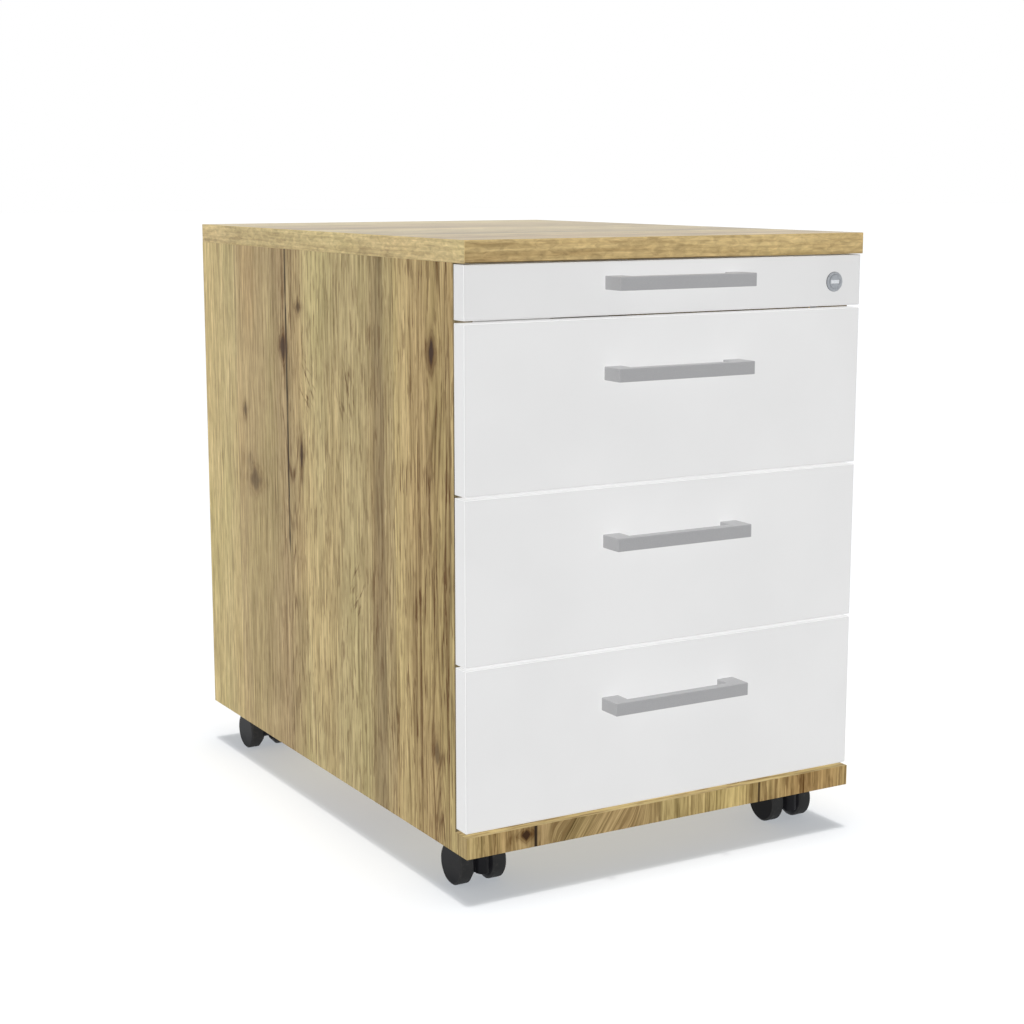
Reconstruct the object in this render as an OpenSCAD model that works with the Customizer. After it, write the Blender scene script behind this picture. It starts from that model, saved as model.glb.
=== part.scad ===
// Rolling pedestal cabinet: a laminated case on four twin-wheel castors, with a shallow
// pencil drawer over three equal drawers, square bow handles and one lock for all drawers.
//
// Every module is drawn in the case's own axes: x from the middle to the right, y back from
// the front edge of the top panel, z up from the underside of the base. in_frame() then
// stands the cabinet on the floor, with the origin under the middle of its outline.
// Right-hand pieces are drawn at +x, and both_sides() adds their left-hand twins.

/* [Case] */
// Width of the case
case_w = 426; // [416:1:440]
// Depth of the top panel and the base
case_d = 600; // [590:1:640]
// Height of the case, without its castors
case_h = 538.5; // [536:0.5:545]
// Thickness of the top panel and the base
deck_t = 19.5; // [18:0.5:20]
// Thickness of the side and back panels
board_t = 19; // [18:0.5:19]

/* [Drawer fronts] */
// Thickness of a drawer front
front_t = 18; // [16:0.5:18]
// Distance from one large front to the next, bottom edge to bottom edge
front_pitch = 149.5; // [148:0.5:150]
// Gap between one front and the next
front_gap = 2.5; // [2:0.5:4]
// How far the fronts stand back from the edge of the top panel
front_setback = 2.5; // [1:0.5:4]
// How far each end of a front stands in from the case's side
front_inset = 0.5; // [0.5:0.5:2]
// Gap between the base and the lowest front
base_gap = 3; // [2:0.5:4]
// Gap between the top panel and the pencil drawer's front
top_gap = 1; // [1:0.5:3]

/* [Handles] */
// Overall length of a handle
handle_l = 145.6; // [144:0.1:150]
// Distance between a handle's two screws
handle_pitch = 128; // [126:1:130]
// Height of a handle's square section
handle_h = 12; // [10:0.5:14]
// How far a handle stands out from its front
handle_reach = 25; // [22:0.5:30]
// Thickness of the grip bar, front to back
grip_t = 9; // [7:0.5:10]
// Height of a handle's middle below the top edge of a large front
handle_drop = 48; // [40:1:60]
// The same on the pencil drawer
pencil_handle_drop = 18.5; // [16:0.5:24]

/* [Drawers] */
// Travel of a large drawer
drawer_travel = 380; // [300:5:400]
// Length of a large drawer behind its front
drawer_l = 500; // [490:5:520]
// Height of a drawer's steel side
drawer_side_h = 100; // [90:1:110]
// Travel of the pencil drawer
tray_travel = 300; // [250:5:320]
// Length of the pencil tray
tray_l = 400; // [380:5:420]
// Depth of the pencil tray
tray_h = 37.5; // [30:0.5:38]

/* [Lock] */
// Distance from the case's right side to the lock's axis
lock_inset = 31.7; // [30:0.1:34]
// Height of the lock's axis below the top edge of its front
lock_drop = 24.6; // [23:0.1:26]
// Radius at which the cam's pin lifts the locking bar
cam_pin_at = 6; // [5.5:0.1:6]

/* [Castors] */
// Height of a castor, from the floor to the base
castor_h = 43.5; // [43:0.5:50]
// Radius of a wheel
wheel_r = 20; // [18:0.5:20]
// Width of one wheel
wheel_w = 17; // [15:0.5:18]
// Gap between a castor's two wheels
wheel_gap = 13.5; // [13:0.5:15]
// Distance from the swivel's axis back to the axle
castor_trail = 16; // [14:0.5:17]
// Distance from the case's side to a swivel's axis
castor_inset_x = 37.6; // [34:0.1:44]
// Distance from the front edge to a front swivel's axis
castor_inset_front = 40.5; // [32:0.5:45]
// Distance from the back edge to a rear swivel's axis
castor_inset_back = 39; // [34:0.5:50]

/* [Hidden] */
$fn = 64;
clear = 0.05;       // radial clearance of a pin in its hole
run_clear = 0.08;   // radial clearance of a wheel or roller on its pin
roll_clear = 0.3;   // gap between a roller and the track that runs on it

oak = [0.72, 0.62, 0.42];
white = [0.89, 0.89, 0.89];
steel_white = [0.84, 0.84, 0.83];
zinc = [0.66, 0.67, 0.69];
handle_grey = [0.62, 0.62, 0.62];
nylon = [0.93, 0.93, 0.90];
tray_grey = [0.35, 0.36, 0.37];
black = [0.12, 0.12, 0.13];
beech = [0.80, 0.66, 0.46];

// Places in the case
y_mid = (case_d + front_setback - handle_reach) / 2;
inner_x = case_w / 2 - board_t;
front_back = front_setback + front_t;
side_front = front_back + 0.5;
front_w = case_w - 2 * front_inset;
function front_z(n) = deck_t + base_gap + (4 - n) * front_pitch;
function front_top(n) = n == 1 ? case_h - deck_t - top_gap : front_z(n) + front_pitch - front_gap;
function handle_z(n) = front_top(n) - (n == 1 ? pencil_handle_drop : handle_drop);

// Dowels and screws
dowel_r = 4;
dowel_l = 24;
dowel_y = [80, 300, 520];
back_dowel_z = [150, 390];
wood_screw_r = 1.9;
wood_screw_l = 13;
screw_head_r = 3.6;
wood_head_t = 1.2;
pilot_r = wood_screw_r + clear;
through_r = 2.2;
bolt_r = 1.95;
bolt_head_t = 2;
bolt_l = front_t - bolt_head_t + 10;
fixing_z = [38, 66];

// Runners: a channel on the case with a roller at its front, and a track on the drawer's
// steel side with a roller at its back
steel_t = 1.5;
runner_h = 28.5;
runner_w = 13;
runner_l = 536;
runner_y = side_front + 2;
runner_screw_y = [90, 330, 520];
case_roller_r = 11;
rear_roller_r = 11;
roller_w = 8.5;
roller_x = inner_x - 11.5;
roller_pin_r = 3;
side_x = inner_x - 14.5;
track_edge = inner_x - 2.5;
track_z = steel_t + roll_clear + 2 * rear_roller_r + 0.5;
case_roller_y = runner_y + 14;
case_roller_z = track_z - roll_clear - case_roller_r;
rear_roller_y = front_back + drawer_l - 20;
rear_roller_z = steel_t + roll_clear + rear_roller_r;
drawer_board_t = 12;
ledge_w = 14;
ledge_z = 4;
base_z = ledge_z + steel_t;
tab_w = 16;
function runner_z(n) = front_z(n) + 12;

// Pencil tray and its guides
tray_x = inner_x - 29;
tray_t = 2.5;
tray_z = front_z(1) + 5;
tray_flange_z = tray_z + tray_h - tray_t;
tray_flange_x = inner_x - 4.5;
tray_flange_y = 62;
guide_web_t = 4;
guide_lip_t = 3;
guide_slack = 0.5;
guide_x = inner_x - 11;
guide_foot = 11.5;
divider_h = 24;
divider_y = [95, 210];
tray_screw_x = 130;

// Lock, cam and locking bar
lock_x = case_w / 2 - lock_inset;
lock_z = front_top(1) - lock_drop;
lock_flange_r = 9.25;
lock_flange_t = 2;
lock_barrel_r = 8;
lock_barrel_end = front_back + 10;
plug_r = 6.6;
plug_proud = 0.3;
plug_end = lock_barrel_end + 3;
key_slot_w = 10.5;
key_slot_h = 3.6;
key_slot_depth = 2.5;
cam_t = 3;
cam_r = 8.5;
cam_pin_r = 2;
cam_pin_l = 11;
cam_tongue_w = 8;
cam_tongue_l = 16;
cam_pin_dip = cam_pin_at * sin(45);
bar_lift = 2 * cam_pin_dip;
bar_y = 49;
bar_w = 10;
bar_t = 5;
bar_gap = 1;
bar_peg_r = 3;
bar_peg_l = 10;
bar_head_h = 16;
bar_slot_z = lock_z - cam_pin_dip;
bar_slot_h = 2 * (cam_pin_r + 0.6);
function peg_z(n) = runner_z(n) + 62;
bar_low = peg_z(4) - 12;
bar_high = bar_slot_z + bar_head_h / 2;
catch_x = inner_x - 8;
catch_w = 18;
catch_notch_w = 2 * (bar_peg_r + 0.7);

// Castors
plate_w = 56;
plate_t = 2;
plate_screw_at = 23;
stem_r = 4;
stem_l = 26;
axle_r = 3;
axle_l = wheel_gap + 2 * 14.25;
axle_z = wheel_r - castor_h;
housing_w = wheel_gap - 2;
housing_top = -(plate_t + 0.8);
housing_low = -31;
front_castor_y = castor_inset_front;
rear_castor_y = case_d - castor_inset_back;
castor_x = case_w / 2 - castor_inset_x;

// ---- Helpers ----

module in_frame() translate([0, -y_mid, castor_h]) children();

module both_sides() {
  children();
  mirror([1, 0, 0]) children();
}

// A box given by its lowest and its highest corner
module box(low, high) translate(low) cube(high - low);

// A round bar along x or y, between two stations
module rod_x(r, from, to) translate([from, 0, 0]) rotate([0, 90, 0]) cylinder(r = r, h = to - from);

module rod_y(r, from, to) translate([0, from, 0]) rotate([-90, 0, 0]) cylinder(r = r, h = to - from);

module rounded_plate(w, d, t, r) linear_extrude(t) {
  square([w - 2 * r, d], center = true);
  square([w, d - 2 * r], center = true);
  for (x = [-1, 1], y = [-1, 1])
    translate([x * (w / 2 - r), y * (d / 2 - r)]) circle(r);
}

// ---- Dowels and screws ----

module dowel_places() {
  for (x = [-1, 1], y = dowel_y, z = [deck_t, case_h - deck_t])
    translate([x * (case_w - board_t) / 2, y, z]) children();
  for (x = [-1, 1], z = back_dowel_z)
    translate([x * inner_x, case_d - board_t / 2, z]) rotate([0, 90, 0]) children();
}

module dowel_holes() dowel_places() cylinder(r = dowel_r + clear, h = dowel_l + 2, center = true);

// Screw places: the head's seat is at the origin and the shank runs along +z
module runner_screw_places() both_sides()
  for (n = [2:4], y = runner_screw_y)
    translate([inner_x - steel_t, y, runner_z(n) + runner_h / 2]) rotate([0, 90, 0]) children();

module guide_screw_places() both_sides()
  for (y = runner_screw_y)
    translate([inner_x - guide_web_t, y, tray_flange_z - guide_foot + 4]) rotate([0, 90, 0]) children();

module castor_screw_places() castor_places()
  for (x = [-1, 1], y = [-1, 1])
    translate([x * plate_screw_at, y * plate_screw_at, -plate_t]) children();

module wood_screw() {
  cylinder(r = wood_screw_r, h = wood_screw_l);
  translate([0, 0, -wood_head_t]) cylinder(r = screw_head_r, h = wood_head_t);
}

module screw_hole(r) translate([0, 0, -5]) cylinder(r = r, h = wood_screw_l + 6);

module pilot_holes() {
  runner_screw_places() screw_hole(pilot_r);
  guide_screw_places() screw_hole(pilot_r);
  castor_screw_places() screw_hole(pilot_r);
}

module case_dowels() color(beech) in_frame() dowel_places()
  cylinder(r = dowel_r, h = dowel_l, center = true);

module case_screws() color(zinc) in_frame() {
  runner_screw_places() wood_screw();
  guide_screw_places() wood_screw();
  castor_screw_places() wood_screw();
}

// ---- Case panels ----

module top_panel() color(oak) in_frame() difference() {
  box([-case_w / 2, 0, case_h - deck_t], [case_w / 2, case_d, case_h]);
  dowel_holes();
}

module bottom_panel() color(oak) in_frame() difference() {
  box([-case_w / 2, 0, 0], [case_w / 2, case_d, deck_t]);
  dowel_holes();
  pilot_holes();
}

module side_board() box([inner_x, side_front, deck_t], [case_w / 2, case_d, case_h - deck_t]);

module left_side_panel() color(oak) in_frame() difference() {
  mirror([1, 0, 0]) side_board();
  dowel_holes();
  pilot_holes();
}

// The right side also has the locking bar's groove and a mortise for the cam's tongue
module right_side_panel() color(oak) in_frame() difference() {
  side_board();
  dowel_holes();
  pilot_holes();
  box([inner_x - 1, bar_y - bar_w / 2 - 1, bar_low - 3],
      [inner_x + bar_gap + bar_t + 0.5, bar_y + bar_w / 2 + 1, bar_high + bar_lift + 3]);
  box([inner_x - 1, plug_end - 1.5, lock_z - cam_tongue_w / 2 - 1],
      [inner_x + 5, plug_end + cam_t + 1.5, lock_z + 14]);
}

module back_panel() color(oak) in_frame() difference() {
  box([-inner_x, case_d - board_t, deck_t], [inner_x, case_d, case_h - deck_t]);
  dowel_holes();
}

// ---- Runners and guides on the case ----

// Channel of bent steel, open towards the drawer, with a riveted pin for the front roller
module case_runner(n) translate([0, 0, runner_z(n)]) {
  difference() {
    box([inner_x - runner_w, runner_y, 0], [inner_x, runner_y + runner_l, runner_h]);
    box([inner_x - runner_w - 1, runner_y - 1, steel_t],
        [inner_x - steel_t, runner_y + runner_l + 1, runner_h - steel_t]);
    translate([0, 0, -runner_z(n)]) runner_screw_places() screw_hole(through_r);
  }
  translate([0, case_roller_y, case_roller_z]) rod_x(roller_pin_r, roller_x - 0.7, inner_x - 0.5);
}

module case_runners() color(steel_white) in_frame() both_sides()
  for (n = [2:4]) case_runner(n);

module tray_guide() difference() {
  union() {
    box([inner_x - guide_web_t, tray_flange_y, tray_flange_z - guide_foot],
        [inner_x, runner_y + runner_l, tray_flange_z + tray_t + guide_slack + guide_lip_t]);
    for (z = [tray_flange_z - guide_slack - guide_lip_t, tray_flange_z + tray_t + guide_slack])
      box([guide_x, tray_flange_y, z], [inner_x - 1, runner_y + runner_l, z + guide_lip_t]);
  }
  guide_screw_places() screw_hole(through_r);
}

module tray_guides() color(nylon) in_frame() both_sides() tray_guide();

// ---- Handles, fronts and their screws ----

// Machine screws from behind, through the front, into the handle's legs
module handle_screw_places(n) for (x = [-1, 1])
  translate([x * handle_pitch / 2, front_back - bolt_head_t, handle_z(n)]) rotate([90, 0, 0]) children();

// Screws through the drawer's tabs, or the tray's front wall, into the front
module fixing_places(n) {
  if (n == 1)
    for (x = [-1, 1])
      translate([x * tray_screw_x, front_back + tray_t, tray_z + tray_h / 2]) rotate([90, 0, 0]) children();
  else
    for (x = [-1, 1], z = fixing_z)
      translate([x * (side_x - steel_t - tab_w / 2), front_back + steel_t, runner_z(n) + z])
        rotate([90, 0, 0]) children();
}

module drawer_screws(n) color(zinc) in_frame() {
  handle_screw_places(n) {
    cylinder(r = bolt_r, h = bolt_l);
    translate([0, 0, -bolt_head_t]) cylinder(r = screw_head_r, h = bolt_head_t);
  }
  fixing_places(n) wood_screw();
}

// Square bow handle in one piece: a flat grip bar between two legs
module drawer_handle(n) color(handle_grey) in_frame() difference() {
  tip = front_setback - handle_reach;
  leg_in = handle_pitch - handle_l / 2;
  translate([0, 0, handle_z(n)]) {
    box([-handle_l / 2, tip, -handle_h / 2], [handle_l / 2, tip + grip_t, handle_h / 2]);
    both_sides()
      box([leg_in, tip + 1, -handle_h / 2], [handle_l / 2, front_setback, handle_h / 2]);
  }
  handle_screw_places(n) cylinder(r = bolt_r + clear, h = bolt_l + 2);
}

module drawer_front(n) color(white) in_frame() difference() {
  box([-front_w / 2, front_setback, front_z(n)], [front_w / 2, front_back, front_top(n)]);
  handle_screw_places(n) {
    cylinder(r = through_r, h = bolt_l);
    translate([0, 0, -bolt_head_t - 1]) cylinder(r = screw_head_r + 0.4, h = bolt_head_t + 1);
  }
  fixing_places(n) cylinder(r = pilot_r, h = wood_screw_l + 1);
  if (n == 1)
    translate([lock_x, 0, lock_z]) rod_y(lock_barrel_r + clear, 0, front_back + 1);
}

// ---- Large drawers ----

// Steel side in one bent piece: wall, rolled top edge, track, ledge for the base, tab for the
// front, and the pin of the rear roller
module steel_side(n) translate([0, 0, runner_z(n)]) difference() {
  union() {
    box([side_x - steel_t, front_back, ledge_z], [side_x, front_back + drawer_l, ledge_z + drawer_side_h]);
    box([side_x - 0.5, front_back + 4, track_z], [track_edge, front_back + drawer_l, track_z + steel_t]);
    box([side_x - 0.5, front_back, ledge_z + drawer_side_h - steel_t],
        [side_x + 4, front_back + drawer_l, ledge_z + drawer_side_h]);
    box([side_x - steel_t - ledge_w, front_back, ledge_z], [side_x - 0.5, front_back + drawer_l, base_z]);
    box([side_x - steel_t - tab_w, front_back, fixing_z[0] - 10],
        [side_x - 0.5, front_back + steel_t, fixing_z[1] + 10]);
    translate([0, rear_roller_y, rear_roller_z]) rod_x(roller_pin_r, side_x - 1, roller_x + roller_w + 0.6);
  }
  translate([0, 0, -runner_z(n)]) fixing_places(n) translate([0, 0, -1]) cylinder(r = through_r, h = 4);
}

// Hook on the right-hand side that the locking bar's peg rises into
module side_catch(n) translate([0, bar_y, peg_z(n)]) difference() {
  union() {
    box([catch_x, -catch_w / 2, 5], [catch_x + steel_t, catch_w / 2, 19]);
    box([side_x - 0.5, -catch_w / 2, 19 - steel_t], [catch_x + steel_t, catch_w / 2, 19]);
  }
  box([catch_x - 1, -catch_notch_w / 2, 4], [catch_x + steel_t + 1, catch_notch_w / 2, 15]);
}

module drawer_left_side(n) color(steel_white) in_frame() mirror([1, 0, 0]) steel_side(n);

module drawer_right_side(n) color(steel_white) in_frame() {
  steel_side(n);
  side_catch(n);
}

module drawer_base(n) color(white) in_frame() translate([0, 0, runner_z(n) + base_z])
  box([steel_t + clear - side_x, front_back + steel_t, 0],
      [side_x - steel_t - clear, front_back + drawer_l, drawer_board_t]);

module drawer_back(n) color(white) in_frame() translate([0, 0, runner_z(n) + base_z])
  box([steel_t + clear - side_x, front_back + drawer_l - drawer_board_t, drawer_board_t],
      [side_x - steel_t - clear, front_back + drawer_l, drawer_side_h - 4]);

module roller(r) translate([roller_x, 0, 0]) rotate([0, 90, 0]) rotate_extrude()
  polygon([
    [roller_pin_r + run_clear, 0], [r - 1, 0], [r, 1], [r, roller_w - 1],
    [r - 1, roller_w], [roller_pin_r + run_clear, roller_w]
  ]);

module case_rollers(n) color(nylon) in_frame() both_sides()
  translate([0, case_roller_y, runner_z(n) + case_roller_z]) roller(case_roller_r);

module rear_rollers(n) color(nylon) in_frame() both_sides()
  translate([0, rear_roller_y, runner_z(n) + rear_roller_z]) roller(rear_roller_r);

// ---- Pencil drawer ----

// Moulded tray with side flanges that slide in the guides
module pencil_tray() color(tray_grey) in_frame() difference() {
  back = front_back + tray_l;
  union() {
    difference() {
      box([-tray_x, front_back, tray_z], [tray_x, back, tray_z + tray_h]);
      box([tray_t - tray_x, front_back + tray_t, tray_z + tray_t], [tray_x - tray_t, back - tray_t, case_h]);
    }
    both_sides()
      box([tray_x - 1, tray_flange_y, tray_flange_z], [tray_flange_x, back, tray_flange_z + tray_t]);
  }
  fixing_places(1) screw_hole(through_r);
}

// Loose dividers that stand on the tray's floor: two from side to side, one between them
module tray_dividers() color(tray_grey) in_frame() {
  end = tray_x - tray_t - clear;
  low = tray_z + tray_t;
  for (y = divider_y)
    box([-end, y, low], [end, y + tray_t, tray_z + divider_h]);
  box([-tray_t / 2, divider_y[0] + tray_t, low], [tray_t / 2, divider_y[1], tray_z + divider_h]);
}

// ---- Lock ----

module at_lock() in_frame() translate([lock_x, 0, lock_z]) children();

module lock_housing() color(zinc) at_lock() difference() {
  union() {
    translate([0, front_setback - lock_flange_t, 0]) rotate([-90, 0, 0])
      cylinder(r1 = lock_flange_r - 1, r2 = lock_flange_r, h = 1);
    rod_y(lock_flange_r, front_setback - lock_flange_t + 1, front_setback);
    rod_y(lock_barrel_r, front_setback - 0.5, lock_barrel_end);
  }
  rod_y(plug_r + clear, -2, lock_barrel_end + 1);
}

module lock_cylinder() color(zinc) at_lock() difference() {
  face = front_setback - lock_flange_t - plug_proud;
  rod_y(plug_r, face, plug_end);
  box([-key_slot_w / 2, face - 1, -key_slot_h / 2], [key_slot_w / 2, face + key_slot_depth, key_slot_h / 2]);
}

// Cam behind the cylinder: its tongue turns into the case's side, its pin lifts the locking bar
module lock_cam() color(zinc) at_lock() {
  rod_y(cam_r, plug_end, plug_end + cam_t);
  box([-cam_tongue_w / 2, plug_end, 0], [cam_tongue_w / 2, plug_end + cam_t, cam_tongue_l]);
  translate([-cam_pin_dip, 0, -cam_pin_dip]) rod_y(cam_pin_r, plug_end + 1, plug_end + cam_t + cam_pin_l);
}

module locking_bar() color(zinc) in_frame() {
  bar_x = inner_x + bar_gap;
  box([bar_x, bar_y - bar_w / 2, bar_low], [bar_x + bar_t, bar_y + bar_w / 2, bar_high]);
  for (n = [2:4])
    translate([0, bar_y, peg_z(n)]) rod_x(bar_peg_r, inner_x - bar_peg_l, bar_x + 1);
}

module locking_bar_head() color(zinc) in_frame() difference() {
  box([lock_x - 10.5, bar_y - bar_w / 2, bar_slot_z - bar_head_h / 2], [inner_x + bar_gap, bar_y, bar_high]);
  box([lock_x - cam_pin_at - cam_pin_r - 0.6, bar_y - bar_w, bar_slot_z - bar_slot_h / 2],
      [lock_x - cam_pin_dip + cam_pin_r + 0.6, bar_y + 1, bar_slot_z + bar_slot_h / 2]);
}

// ---- Castors ----

// Each castor is drawn round its swivel's axis. The front pair trails to the back and the
// rear pair to the front.
module castor_at(x, y) in_frame() translate([x * castor_x, y < 0 ? front_castor_y : rear_castor_y, 0])
  mirror([0, y < 0 ? 0 : 1, 0]) children();

module castor_places() for (x = [-1, 1], y = [front_castor_y, rear_castor_y])
  translate([x * castor_x, y, 0]) children();

module castor_mounts() color(black) in_frame() castor_places() difference() {
  union() {
    translate([0, 0, -plate_t]) rounded_plate(plate_w, plate_w, plate_t, 6);
    translate([0, 0, -plate_t - stem_l]) cylinder(r = stem_r, h = stem_l + 0.5);
  }
  for (x = [-1, 1], y = [-1, 1])
    translate([x * plate_screw_at, y * plate_screw_at, -plate_t]) screw_hole(through_r);
}

// Web between the wheels: a socket round the stem, joined to a boss round the axle
module castor_housing(x, y) color(black) castor_at(x, y) difference() {
  union() {
    translate([0, 0, housing_low]) cylinder(r = housing_w / 2 + 0.4, h = housing_top - housing_low);
    translate([-housing_w / 2, 0, 0]) rotate([90, 0, 90]) linear_extrude(housing_w) {
      translate([castor_trail, axle_z]) circle(10);
      polygon([
        [0, housing_low], [castor_trail, axle_z - 10], [castor_trail + 10, axle_z],
        [castor_trail + 7, housing_top - 5], [castor_trail - 2, housing_top - 1.5], [0, housing_top]
      ]);
    }
  }
  translate([0, 0, housing_low + 2]) cylinder(r = stem_r + clear, h = -housing_low);
  translate([0, castor_trail, axle_z]) rod_x(axle_r + clear, -housing_w, housing_w);
}

module castor_axle(x, y) color(zinc) castor_at(x, y) translate([0, castor_trail, axle_z])
  rod_x(axle_r, -axle_l / 2, axle_l / 2);

// One wheel from its hollow inner face, with a wide bevel, to its closed outer face
module castor_wheel() {
  inner_bevel = 5;
  outer_bevel = 1.5;
  cap = 14.5 - run_clear;
  translate([wheel_gap / 2, 0, 0]) rotate([0, 90, 0]) rotate_extrude() polygon([
    [axle_r + run_clear, 0], [7, 0], [7, 9], [wheel_r - 6.5, 9], [wheel_r - 6.5, 0],
    [wheel_r - inner_bevel, 0], [wheel_r, inner_bevel], [wheel_r, wheel_w - outer_bevel],
    [wheel_r - outer_bevel, wheel_w], [0, wheel_w], [0, cap], [axle_r + run_clear, cap]
  ]);
}

module castor_wheels(x, y) color(black) castor_at(x, y) translate([0, castor_trail, axle_z])
  both_sides() castor_wheel();

// ---- Nodes ----

top_panel();
bottom_panel();
left_side_panel();
right_side_panel();
back_panel();
case_dowels();
case_screws();
case_runners();
tray_guides();
castor_mounts();
drawer_front(1);  // drawer_1_front
pencil_tray();  // drawer_1_tray
tray_dividers();  // drawer_1_dividers
drawer_handle(1);  // drawer_1_handle
drawer_screws(1);  // drawer_1_screws
lock_housing();
lock_cylinder();
lock_cam();
locking_bar();
locking_bar_head();
drawer_front(2);  // drawer_2_front
drawer_left_side(2);  // drawer_2_left_side
drawer_right_side(2);  // drawer_2_right_side
drawer_back(2);  // drawer_2_back
drawer_base(2);  // drawer_2_base
drawer_handle(2);  // drawer_2_handle
drawer_screws(2);  // drawer_2_screws
case_rollers(2);  // drawer_2_case_rollers
rear_rollers(2);  // drawer_2_rear_rollers
drawer_front(3);  // drawer_3_front
drawer_left_side(3);  // drawer_3_left_side
drawer_right_side(3);  // drawer_3_right_side
drawer_back(3);  // drawer_3_back
drawer_base(3);  // drawer_3_base
drawer_handle(3);  // drawer_3_handle
drawer_screws(3);  // drawer_3_screws
case_rollers(3);  // drawer_3_case_rollers
rear_rollers(3);  // drawer_3_rear_rollers
drawer_front(4);  // drawer_4_front
drawer_left_side(4);  // drawer_4_left_side
drawer_right_side(4);  // drawer_4_right_side
drawer_back(4);  // drawer_4_back
drawer_base(4);  // drawer_4_base
drawer_handle(4);  // drawer_4_handle
drawer_screws(4);  // drawer_4_screws
case_rollers(4);  // drawer_4_case_rollers
rear_rollers(4);  // drawer_4_rear_rollers
castor_housing(-1, -1);  // castor_front_left_housing
castor_axle(-1, -1);  // castor_front_left_axle
castor_wheels(-1, -1);  // castor_front_left_wheels
castor_housing(1, -1);  // castor_front_right_housing
castor_axle(1, -1);  // castor_front_right_axle
castor_wheels(1, -1);  // castor_front_right_wheels
castor_housing(-1, 1);  // castor_rear_left_housing
castor_axle(-1, 1);  // castor_rear_left_axle
castor_wheels(-1, 1);  // castor_rear_left_wheels
castor_housing(1, 1);  // castor_rear_right_housing
castor_axle(1, 1);  // castor_rear_right_axle
castor_wheels(1, 1);  // castor_rear_right_wheels
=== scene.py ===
"""Rolling pedestal cabinet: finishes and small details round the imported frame, with its floor,
light and camera."""

import math

import bmesh
import bpy
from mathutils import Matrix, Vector


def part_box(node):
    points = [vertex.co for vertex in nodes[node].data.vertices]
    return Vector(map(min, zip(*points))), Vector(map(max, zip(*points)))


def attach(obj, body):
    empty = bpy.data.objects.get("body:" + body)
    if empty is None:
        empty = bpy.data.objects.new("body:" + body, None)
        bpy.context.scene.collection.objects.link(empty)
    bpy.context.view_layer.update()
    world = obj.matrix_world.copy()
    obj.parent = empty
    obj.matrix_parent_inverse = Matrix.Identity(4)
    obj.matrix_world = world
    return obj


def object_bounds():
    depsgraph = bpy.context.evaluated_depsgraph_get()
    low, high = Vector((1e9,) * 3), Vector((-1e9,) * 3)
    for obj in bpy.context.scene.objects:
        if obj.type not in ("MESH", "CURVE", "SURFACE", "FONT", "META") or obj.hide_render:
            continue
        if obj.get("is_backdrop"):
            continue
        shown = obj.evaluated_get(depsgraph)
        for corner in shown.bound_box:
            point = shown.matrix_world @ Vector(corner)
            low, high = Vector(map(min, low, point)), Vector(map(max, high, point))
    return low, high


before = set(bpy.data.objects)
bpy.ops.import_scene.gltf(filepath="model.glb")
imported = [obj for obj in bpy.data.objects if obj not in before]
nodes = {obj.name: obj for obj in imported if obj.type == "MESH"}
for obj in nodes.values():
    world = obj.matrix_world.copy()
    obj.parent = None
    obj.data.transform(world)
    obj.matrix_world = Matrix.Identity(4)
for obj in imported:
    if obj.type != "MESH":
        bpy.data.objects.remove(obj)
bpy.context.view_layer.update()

DECK_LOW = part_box("top_panel")[0]
BASE_LOW, BASE_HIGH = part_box("bottom_panel")
LEFT_LOW, LEFT_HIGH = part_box("left_side_panel")
# The space inside the case
INSIDE_LOW = (LEFT_HIGH.x, LEFT_LOW.y, BASE_HIGH.z)
INSIDE_HIGH = (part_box("right_side_panel")[0].x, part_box("back_panel")[0].y, DECK_LOW.z)
MM = 0.001
# A face points along an axis when its normal's part along that axis is over this
FACING = 0.7
DRAWERS = (1, 2, 3, 4)
LARGE_DRAWERS = (2, 3, 4)
CORNERS = ("front_left", "front_right", "rear_left", "rear_right")


# ---- Shader graphs ----


def srgb(red, green, blue):
    """A colour given as it is seen, 0 to 255, in linear values with full alpha."""
    seen = (red / 255, green / 255, blue / 255)
    linear = [c / 12.92 if c <= 0.04 else ((c + 0.055) / 1.055) ** 2.4 for c in seen]
    return (*linear, 1.0)


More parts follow.
